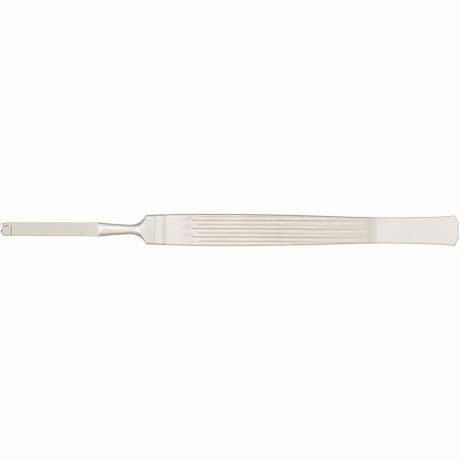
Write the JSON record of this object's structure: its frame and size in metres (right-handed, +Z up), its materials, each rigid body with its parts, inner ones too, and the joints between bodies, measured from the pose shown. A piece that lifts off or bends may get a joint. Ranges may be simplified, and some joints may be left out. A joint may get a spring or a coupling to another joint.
{
  "type": "button end knife",
  "caption": "Slim surgical knife: a flat ground bar with a notched button tip, a round neck and a flat fluted handle that flares at the butt.",
  "frame": {"origin": "middle of the knife's length and width, on the plane that its flat underside rests on", "axes": "+X along the knife from the notched tip to the flared butt, +Y across the handle towards the horn of the tip, +Z up"},
  "size_m": [0.146, 0.01, 0.0045],
  "materials": {
    "satin_steel": "satin"
  },
  "bodies": {
    "root": {"button_end_knife": "satin_steel"}
  },
  "joints": []
}
